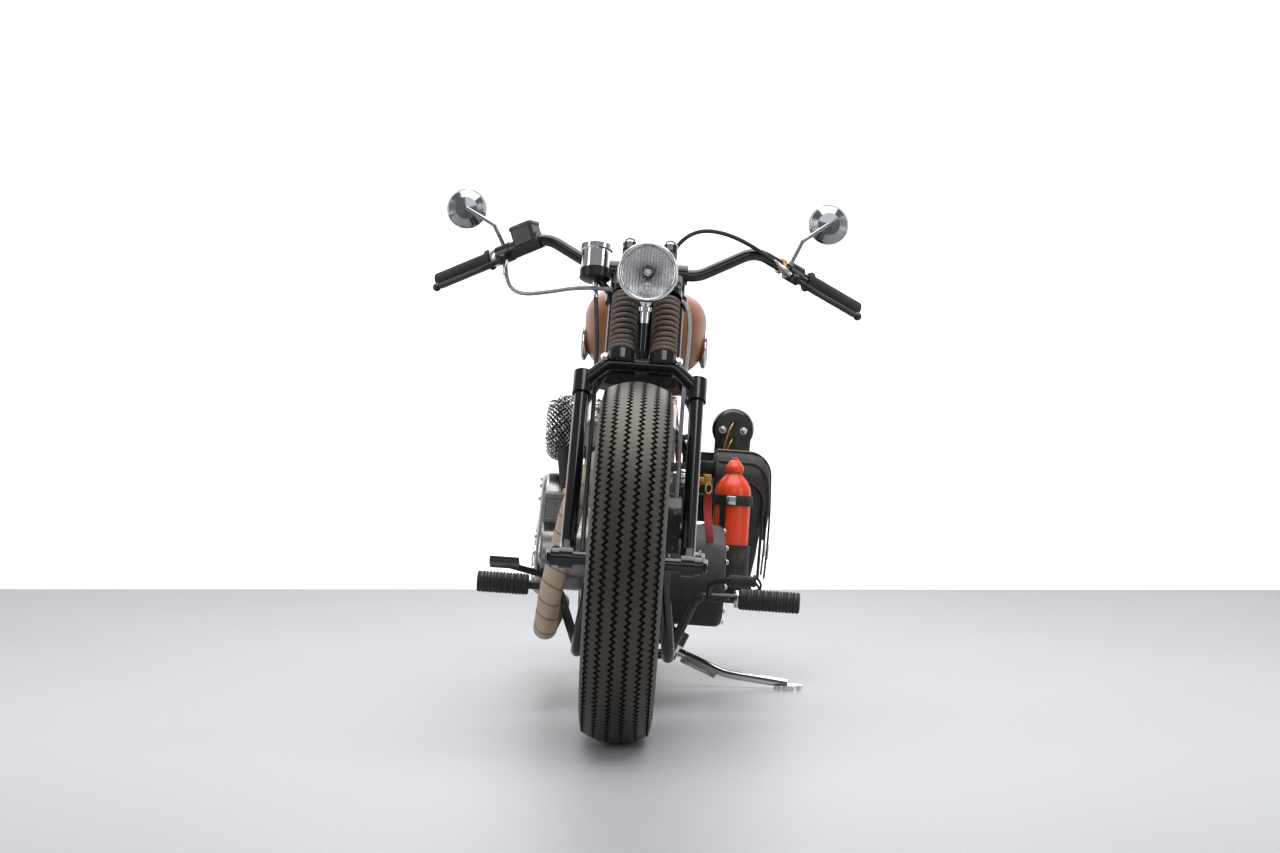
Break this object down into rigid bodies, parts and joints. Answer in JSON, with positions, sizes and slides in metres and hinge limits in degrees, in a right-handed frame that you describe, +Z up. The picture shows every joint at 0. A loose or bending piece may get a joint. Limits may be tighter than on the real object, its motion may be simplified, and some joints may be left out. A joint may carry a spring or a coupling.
{
  "type": "bobber motorcycle",
  "caption": "Rigid-frame bobber motorcycle with a springer fork, V-twin engine, wrapped exhausts, peanut tank and solo bag, leaning on its side stand.",
  "frame": {"origin": "bottom centre of the bounding box, on the ground under the machine", "axes": "+X to the rider's left, +Y to the rear, +Z up; the machine leans 4 degrees to its left on its side stand"},
  "size_m": [0.9252, 2.167, 1.1143],
  "materials": {
    "tyre_rubber": "matte",
    "black_frame": "gloss",
    "chrome": "polished",
    "polished_alloy": "polished",
    "dark_cast": "satin",
    "black_cover": "satin",
    "wheel_steel": "satin",
    "spring_steel": "weathered",
    "copper_paint": "gloss metallic",
    "brown_leather": "satin",
    "black_leather": "satin",
    "red_bottle": "gloss",
    "lamp_glass": "clear",
    "heat_wrap": "matte",
    "black_rubber": "matte",
    "chain_steel": "oiled",
    "red_lens": "gloss",
    "plate_metal": "satin"
  },
  "bodies": {
    "frame": {"frame_backbone": "black_frame", "frame_cradle": "black_frame", "frame_upper_stays": "black_frame", "rear_axle_plates": "black_frame", "rear_caliper": "polished_alloy", "crankcase": "dark_cast", "cylinders": "dark_cast", "cylinder_heads": "dark_cast", "rocker_boxes": "polished_alloy", "primary_cover": "black_cover", "cam_cover": "polished_alloy", "carburettor": "polished_alloy", "air_filter": "chrome", "exhaust_pipes": "heat_wrap", "drive_chain": "chain_steel", "fuel_tank": "copper_paint", "tank_fittings": "chrome", "seat_pad": "brown_leather", "seat_springs": "spring_steel", "oil_tank": "black_cover", "rear_guard": "copper_paint", "saddle_bag": "black_leather", "fuel_bottle": "red_bottle", "number_plate": "plate_metal", "rear_lamp": "red_lens", "foot_controls": "black_rubber", "ignition_switch": "black_cover"},
    "steering": {"fork_rockers": "chrome", "fork_rigid_legs": "black_frame", "fork_spring_legs": "black_frame", "fork_springs": "spring_steel", "front_caliper": "polished_alloy", "handlebar": "black_frame", "grips": "black_rubber", "hand_levers": "polished_alloy", "mirrors": "chrome", "speedometer": "chrome", "headlamp": "chrome", "headlamp_lens": "lamp_glass", "control_cables": "black_rubber"},
    "front_wheel": {"front_tyre": "tyre_rubber", "front_wheel": "wheel_steel"},
    "rear_wheel": {"rear_tyre": "tyre_rubber", "rear_wheel": "wheel_steel"},
    "side_stand": {"side_stand": "chrome"}
  },
  "joints": [
    {"name": "steering_turn", "type": "hinge", "parent": "frame", "child": "steering", "pos_m": [-0.00808, -0.38206, 0.78157], "axis": [0.0604, 0.5, 0.8639], "range_deg": [-30, 30]},
    {"name": "front_wheel_spin", "type": "hinge", "parent": "steering", "child": "front_wheel", "pos_m": [-0.03877, -0.74, 0.34266], "axis": [0.9976, 0, -0.0698], "continuous": true},
    {"name": "rear_wheel_spin", "type": "hinge", "parent": "frame", "child": "rear_wheel", "pos_m": [-0.03877, 0.74, 0.34266], "axis": [0.9976, 0, -0.0698], "continuous": true},
    {"name": "side_stand_fold", "type": "hinge", "parent": "frame", "child": "side_stand", "pos_m": [0.0604, 0.26, 0.08361], "axis": [0.4626, 0.1, 0.8809], "range_deg": [0, 107]}
  ]
}
